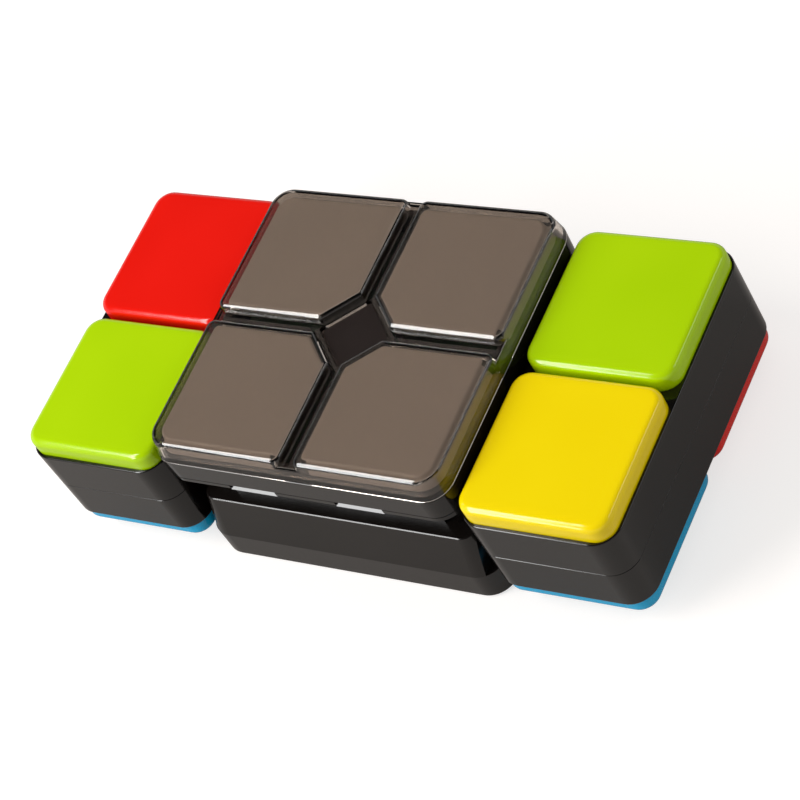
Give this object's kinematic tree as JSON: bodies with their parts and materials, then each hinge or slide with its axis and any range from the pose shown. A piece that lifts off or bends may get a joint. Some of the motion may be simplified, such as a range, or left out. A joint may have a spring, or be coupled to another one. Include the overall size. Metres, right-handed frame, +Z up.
{
  "type": "electronic memory game",
  "caption": "Electronic memory game: lit centre module with windows and a diamond start button, between end blocks with coloured caps that slide and flip.",
  "frame": {"origin": "middle of the base, on the surface that the centre module stands on", "axes": "+X along the row of three modules, towards the right block; +Y to the back; +Z up"},
  "size_m": [0.18, 0.0886, 0.05],
  "materials": {
    "smoked_window": "moulded clear styrene tinted smoke grey, polished",
    "diffuser": "translucent styrene sheet, frosted",
    "white_reflector": "white ABS, moulded matte",
    "black_satin": "black ABS, fine moulded grain",
    "black_gloss": "black ABS, polished mould",
    "dark_satin": "black ABS, satin mould",
    "rail_black": "black acetal, moulded",
    "knob_grey": "grey ABS, moulded",
    "ring_white": "natural acetal, moulded",
    "zinc_steel": "zinc plated steel",
    "spring_steel": "nickel plated spring steel strip",
    "cell_can": "plain steel can",
    "circuit_board": "glass epoxy board with green solder mask",
    "emitter_white": "white light emitter body",
    "chip_black": "black epoxy chip body",
    "speaker_grey": "pressed steel and paper cone",
    "magnet_nickel": "nickel plated magnet",
    "cap_red": "red ABS, polished mould",
    "cap_lime": "lime green ABS, polished mould",
    "cap_yellow": "yellow ABS, polished mould",
    "cap_blue": "blue ABS, polished mould"
  },
  "bodies": {
    "centre": {"window_cover": "smoked_window", "diffuser_back_left": "diffuser", "diffuser_back_right": "diffuser", "diffuser_front_left": "diffuser", "diffuser_front_right": "diffuser", "light_box": "black_satin", "start_switch_body": "black_satin", "upper_housing": "black_gloss", "lower_housing": "dark_satin", "battery_door": "dark_satin", "battery_door_screw": "zinc_steel", "housing_screws": "zinc_steel", "board_screws": "zinc_steel", "battery_left": "cell_can", "battery_middle": "cell_can", "battery_right": "cell_can", "battery_contact_plates": "spring_steel", "battery_leaf_springs": "spring_steel", "main_board": "circuit_board", "light_emitters": "emitter_white", "controller_chip": "chip_black", "speaker": "speaker_grey", "power_switch_body": "spring_steel", "left_side_board": "circuit_board", "left_sensors": "chip_black", "right_side_board": "circuit_board", "right_sensors": "chip_black"},
    "start_button": {"start_button": "black_satin", "start_switch_plunger": "white_reflector"},
    "power_switch": {"power_switch_knob": "knob_grey"},
    "left_carriage": {"left_carriage": "rail_black", "left_slide_spring": "spring_steel", "left_index_ring": "ring_white", "left_retaining_washer": "zinc_steel", "left_spigot_screw": "zinc_steel"},
    "left_block": {"left_upper_shell": "black_gloss", "left_lower_shell": "black_gloss", "left_shell_screws": "zinc_steel", "left_flip_spring": "spring_steel", "left_magnet": "magnet_nickel", "left_cap_back_top": "cap_red", "left_cap_front_top": "cap_lime", "left_cap_back_under": "cap_yellow", "left_cap_front_under": "cap_blue"},
    "right_carriage": {"right_carriage": "rail_black", "right_slide_spring": "spring_steel", "right_index_ring": "ring_white", "right_retaining_washer": "zinc_steel", "right_spigot_screw": "zinc_steel"},
    "right_block": {"right_upper_shell": "black_gloss", "right_lower_shell": "black_gloss", "right_shell_screws": "zinc_steel", "right_flip_spring": "spring_steel", "right_magnet": "magnet_nickel", "right_cap_back_top": "cap_lime", "right_cap_front_top": "cap_yellow", "right_cap_back_under": "cap_red", "right_cap_front_under": "cap_blue"}
  },
  "joints": [
    {"name": "left_slide", "type": "slide", "parent": "centre", "child": "left_carriage", "axis": [0, 1, 0], "range_m": [-0.044, 0.044]},
    {"name": "left_flip", "type": "hinge", "parent": "left_carriage", "child": "left_block", "pos_m": [0, 0, 0.024], "axis": [1, 0, 0], "continuous": true},
    {"name": "right_slide", "type": "slide", "parent": "centre", "child": "right_carriage", "axis": [0, 1, 0], "range_m": [-0.044, 0.044]},
    {"name": "right_flip", "type": "hinge", "parent": "right_carriage", "child": "right_block", "pos_m": [0, 0, 0.024], "axis": [1, 0, 0], "continuous": true},
    {"name": "start_button_press", "type": "slide", "parent": "centre", "child": "start_button", "axis": [0, 0, -1], "range_m": [0, 0.0008], "stiffness_N_per_m": 1200, "springref_m": -0.0004},
    {"name": "power_switch_slide", "type": "slide", "parent": "centre", "child": "power_switch", "axis": [0, 1, 0], "range_m": [0, 0.004]}
  ]
}
